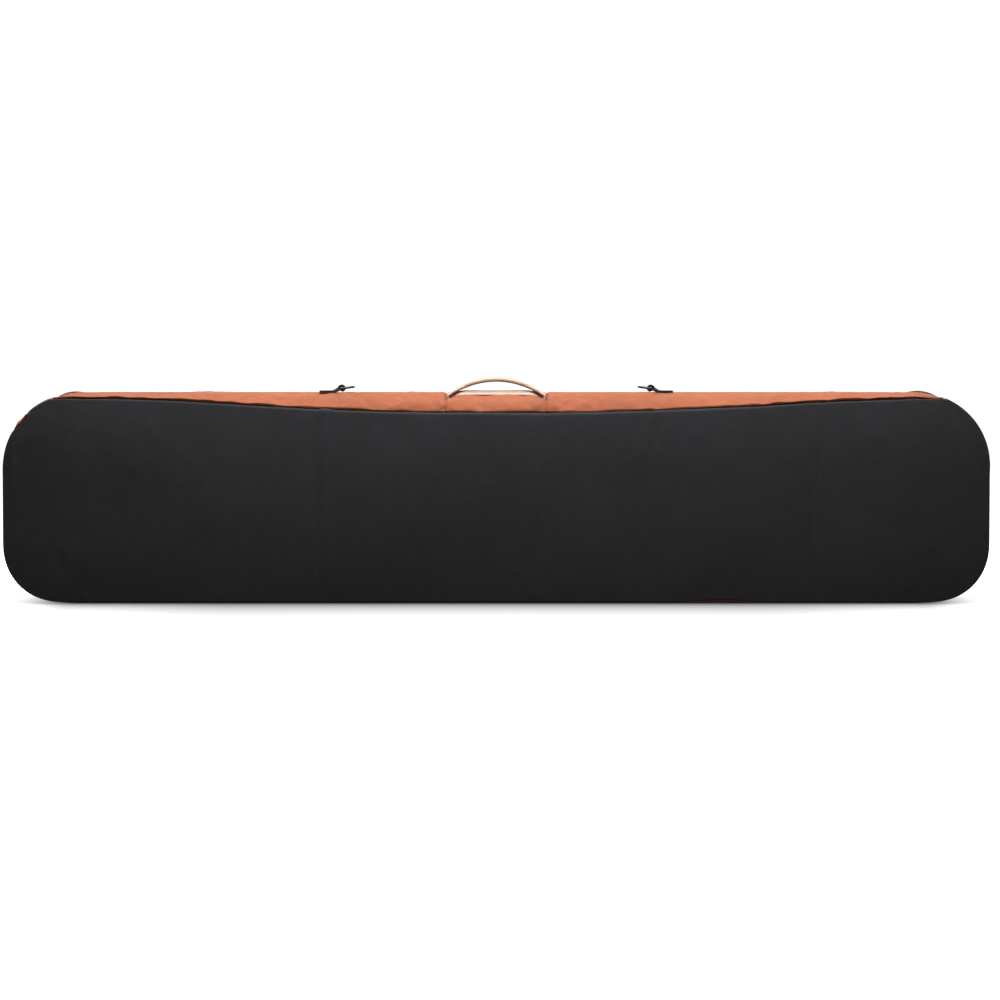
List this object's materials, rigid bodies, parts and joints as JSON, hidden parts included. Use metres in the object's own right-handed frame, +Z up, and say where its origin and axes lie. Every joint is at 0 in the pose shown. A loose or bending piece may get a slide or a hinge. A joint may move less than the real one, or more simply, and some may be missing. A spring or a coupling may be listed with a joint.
{
  "type": "snowboard bag",
  "caption": "Padded snowboard bag on its long edge, zipped front panel as lid, webbing carry handle and D-rings on the top gusset.",
  "frame": {"origin": "on the floor under the middle of the bag, at the centre of its length and depth", "axes": "+X along the bag's length, to the right when its back panel is looked at; +Y from the back panel to the front panel, which is the lid; +Z up, with the bag on its long edge"},
  "size_m": [1.6, 0.15, 0.3644],
  "materials": {
    "back_fabric": "matt woven polyester, grey black",
    "front_fabric": "matt woven polyester, rust",
    "gusset_fabric": "matt woven polyester, rust",
    "foam": "open foam padding, pale grey",
    "lining": "smooth woven lining, charcoal",
    "binding": "folded grosgrain tape, black",
    "zip_tape": "knitted zip tape, black",
    "zip_coil": "nylon coil, black",
    "tan_webbing": "flat webbing, pale tan",
    "black_webbing": "flat webbing, black",
    "ring_metal": "dark plated wire",
    "slider_metal": "dark enamelled die casting"
  },
  "bodies": {
    "bag": {"back_panel": "back_fabric", "back_foam": "foam", "back_lining": "lining", "back_seam_binding": "binding", "gusset_left": "gusset_fabric", "gusset_centre": "gusset_fabric", "gusset_right": "gusset_fabric", "gusset_bottom": "gusset_fabric", "gusset_foam_left": "foam", "gusset_foam_top": "foam", "gusset_foam_right": "foam", "gusset_foam_bottom": "foam", "gusset_lining": "lining", "zip_tape_body": "zip_tape", "zip_coil_body": "zip_coil", "zip_end_left": "black_webbing", "zip_end_right": "black_webbing", "handle_base_strap": "tan_webbing", "d_ring_tab_left": "black_webbing", "d_ring_tab_right": "black_webbing"},
    "lid": {"front_panel": "front_fabric", "front_foam": "foam", "front_lining": "lining", "lid_edge_binding": "binding", "zip_tape_lid": "zip_tape", "zip_coil_lid": "zip_coil"},
    "handle_grip": {"handle_grip": "tan_webbing"},
    "d_ring_left": {"d_ring_left": "ring_metal"},
    "d_ring_right": {"d_ring_right": "ring_metal"},
    "slider_left": {"slider_left": "slider_metal"},
    "slider_right": {"slider_right": "slider_metal"},
    "puller_left": {"puller_left": "slider_metal"},
    "puller_right": {"puller_right": "slider_metal"}
  },
  "joints": [
    {"name": "lid_hinge", "type": "hinge", "parent": "bag", "child": "lid", "pos_m": [0, 0.0745, 0.0015], "axis": [-1, 0, 0], "range_deg": [0, 90]},
    {"name": "slider_left_slide", "type": "slide", "parent": "bag", "child": "slider_left", "axis": [-1, 0, 0], "range_m": [0, 0.57]},
    {"name": "slider_right_slide", "type": "slide", "parent": "bag", "child": "slider_right", "axis": [1, 0, 0], "range_m": [0, 0.57]},
    {"name": "puller_left_swing", "type": "hinge", "parent": "slider_left", "child": "puller_left", "pos_m": [-0.014, 0.047, 0.3333], "axis": [0, 1, 0], "range_deg": [0, 160]},
    {"name": "puller_right_swing", "type": "hinge", "parent": "slider_right", "child": "puller_right", "pos_m": [0.014, 0.047, 0.3333], "axis": [0, -1, 0], "range_deg": [0, 160]},
    {"name": "d_ring_left_swing", "type": "hinge", "parent": "bag", "child": "d_ring_left", "pos_m": [-0.253, 0.002, 0.3465], "axis": [0, -1, 0], "range_deg": [0, 150]},
    {"name": "d_ring_right_swing", "type": "hinge", "parent": "bag", "child": "d_ring_right", "pos_m": [0.253, 0.002, 0.3465], "axis": [0, 1, 0], "range_deg": [0, 150]},
    {"name": "handle_swing", "type": "hinge", "parent": "bag", "child": "handle_grip", "pos_m": [0, 0.002, 0.3462], "axis": [1, 0, 0], "range_deg": [-30, 30], "stiffness_Nm_per_rad": 0.02}
  ]
}
